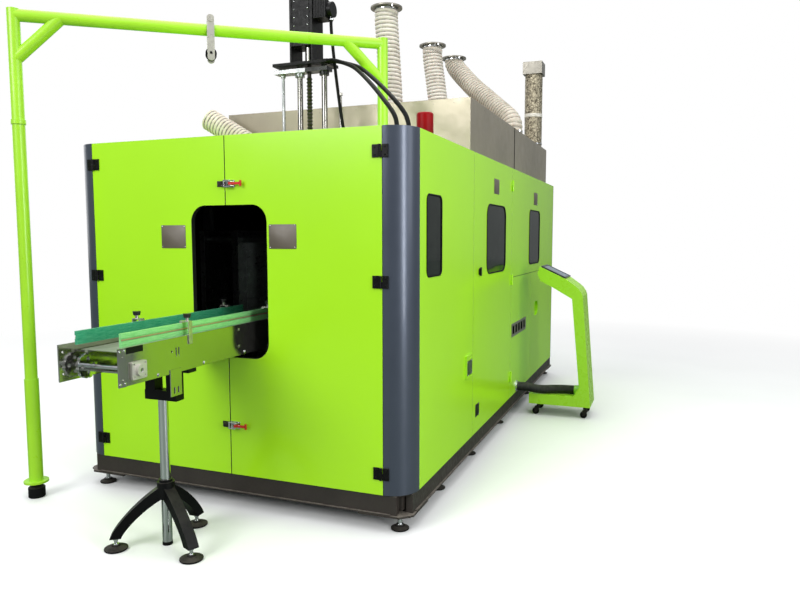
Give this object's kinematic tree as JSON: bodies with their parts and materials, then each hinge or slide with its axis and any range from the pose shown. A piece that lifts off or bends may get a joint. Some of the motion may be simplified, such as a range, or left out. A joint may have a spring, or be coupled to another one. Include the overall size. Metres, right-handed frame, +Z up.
{
  "type": "blow moulding machine",
  "caption": "Enclosed stretch blow moulding machine with front doors, roof hood and ducts, overhead gantry, outfeed conveyor and operator console",
  "frame": {"origin": "middle of the footprint, on the floor", "axes": "+X to the right seen from the front doors, +Y from the conveyor's free end to the rear panel, +Z up"},
  "size_m": [3.049, 5.794, 3.45],
  "materials": {
    "lime_paint": "gloss",
    "column_paint": "satin",
    "base_paint": "satin",
    "frame_aluminium": "satin",
    "stainless": "brushed",
    "chrome": "polished",
    "tool_steel": "ground",
    "black_paint": "satin",
    "black_plastic": "matt",
    "black_rubber": "matt",
    "tinted_glass": "clear",
    "red_lens": "gloss",
    "red_grip": "gloss",
    "duct_fabric": "matt",
    "duct_foil": "crumpled foil",
    "guide_plastic": "satin",
    "chain_plastic": "matt",
    "screen_glass": "gloss",
    "dark_steel": "oiled"
  },
  "bodies": {
    "cabinet": {"base_frame": "base_paint", "foot_spindles": "chrome", "foot_pads": "black_rubber", "inner_frame": "frame_aluminium", "corner_columns": "column_paint", "right_panels": "lime_paint", "right_windows": "tinted_glass", "plain_panels": "lime_paint", "vent_grille": "stainless", "cable_outlet": "chrome", "hinge_frames": "black_paint", "hood": "stainless", "white_ducts": "duct_fabric", "foil_duct": "duct_foil", "duct_collars": "stainless", "roof_sleeve": "duct_fabric", "roof_fittings": "black_plastic", "beacon_lens": "red_lens", "guide_posts": "chrome", "drive_screw": "dark_steel", "servo_column": "black_paint", "servo_motor": "black_paint", "gantry_frame": "lime_paint", "conveyor_frame": "stainless", "conveyor_chain": "chain_plastic", "flange_bearings": "tool_steel", "guide_rails": "guide_plastic", "rail_brackets": "stainless", "stand_pole": "chrome", "stand_legs": "black_paint", "console_body": "lime_paint", "console_screen": "screen_glass", "castor_forks": "chrome", "clamp_frame": "tool_steel", "oven": "tool_steel", "motor_cable": "black_rubber", "air_hose_a": "black_rubber", "air_hose_b": "black_rubber", "console_cable": "black_rubber"},
    "left_door": {"door_left": "lime_paint", "hinge_leaves_left": "black_paint", "latch_keepers": "dark_steel"},
    "right_door": {"door_right": "lime_paint", "hinge_leaves_right": "black_paint", "latch_bases": "chrome"},
    "upper_latch": {"latch_lever_upper": "red_grip"},
    "lower_latch": {"latch_lever_lower": "red_grip"},
    "access_door": {"side_door": "lime_paint", "side_door_window": "tinted_glass"},
    "access_handle": {"side_door_handle": "black_plastic"},
    "crosshead": {"stretch_carriage": "tool_steel"},
    "trolley": {"trolley_plates": "stainless"},
    "trolley_wheel": {"trolley_roller": "black_plastic"},
    "end_shaft": {"conveyor_shaft": "chrome"},
    "mould_half_right": {"mould_right": "tool_steel"},
    "mould_half_left": {"mould_left": "tool_steel"},
    "castor_1": {"castor_wheel_1": "black_rubber"},
    "castor_2": {"castor_wheel_2": "black_rubber"},
    "castor_3": {"castor_wheel_3": "black_rubber"},
    "castor_4": {"castor_wheel_4": "black_rubber"}
  },
  "joints": [
    {"name": "left_door_hinge", "type": "hinge", "parent": "cabinet", "child": "left_door", "pos_m": [-1.1685, -1.896, 1.35], "axis": [0, 0, -1], "range_deg": [0, 105]},
    {"name": "right_door_hinge", "type": "hinge", "parent": "cabinet", "child": "right_door", "pos_m": [0.7235, -1.896, 1.35], "axis": [0, 0, 1], "range_deg": [0, 105]},
    {"name": "upper_latch_lever", "type": "hinge", "parent": "right_door", "child": "upper_latch", "pos_m": [-0.1765, -1.907, 1.881], "axis": [0, 0, -1], "range_deg": [0, 100]},
    {"name": "lower_latch_lever", "type": "hinge", "parent": "right_door", "child": "lower_latch", "pos_m": [-0.1765, -1.907, 0.504], "axis": [0, 0, -1], "range_deg": [0, 100]},
    {"name": "access_door_hinge", "type": "hinge", "parent": "cabinet", "child": "access_door", "pos_m": [0.8935, 0.563, 1.18], "axis": [0, 0, 1], "range_deg": [0, 90]},
    {"name": "access_handle_turn", "type": "hinge", "parent": "access_door", "child": "access_handle", "pos_m": [0.8855, -0.492, 1.342], "axis": [1, 0, 0], "range_deg": [0, 90]},
    {"name": "stretch_slide", "type": "slide", "parent": "cabinet", "child": "crosshead", "axis": [0, 0, -1], "range_m": [0, 0.4]},
    {"name": "trolley_travel", "type": "slide", "parent": "cabinet", "child": "trolley", "axis": [0.7965, 0.6046, 0], "range_m": [-0.76, 0.7]},
    {"name": "trolley_wheel_spin", "type": "hinge", "parent": "trolley", "child": "trolley_wheel", "pos_m": [-0.57991, -1.49315, 2.716], "axis": [-0.6046, 0.7965, 0], "continuous": true},
    {"name": "end_shaft_spin", "type": "hinge", "parent": "cabinet", "child": "end_shaft", "pos_m": [-0.0745, -2.779, 0.996], "axis": [1, 0, 0], "continuous": true},
    {"name": "mould_right_slide", "type": "slide", "parent": "cabinet", "child": "mould_half_right", "axis": [1, 0, 0], "range_m": [0, 0.18]},
    {"name": "mould_left_slide", "type": "slide", "parent": "cabinet", "child": "mould_half_left", "axis": [-1, 0, 0], "range_m": [0, 0.18]},
    {"name": "castor_1_roll", "type": "hinge", "parent": "cabinet", "child": "castor_1", "pos_m": [1.0475, 0.928, 0.03], "axis": [0, 1, 0], "continuous": true},
    {"name": "castor_2_roll", "type": "hinge", "parent": "cabinet", "child": "castor_2", "pos_m": [1.4645, 0.928, 0.03], "axis": [0, 1, 0], "continuous": true},
    {"name": "castor_3_roll", "type": "hinge", "parent": "cabinet", "child": "castor_3", "pos_m": [1.0475, 1.168, 0.03], "axis": [0, 1, 0], "continuous": true},
    {"name": "castor_4_roll", "type": "hinge", "parent": "cabinet", "child": "castor_4", "pos_m": [1.4645, 1.168, 0.03], "axis": [0, 1, 0], "continuous": true}
  ],
  "couplings": [
    {"joint": "mould_left_slide", "follows": "mould_right_slide", "ratio": 1}
  ]
}
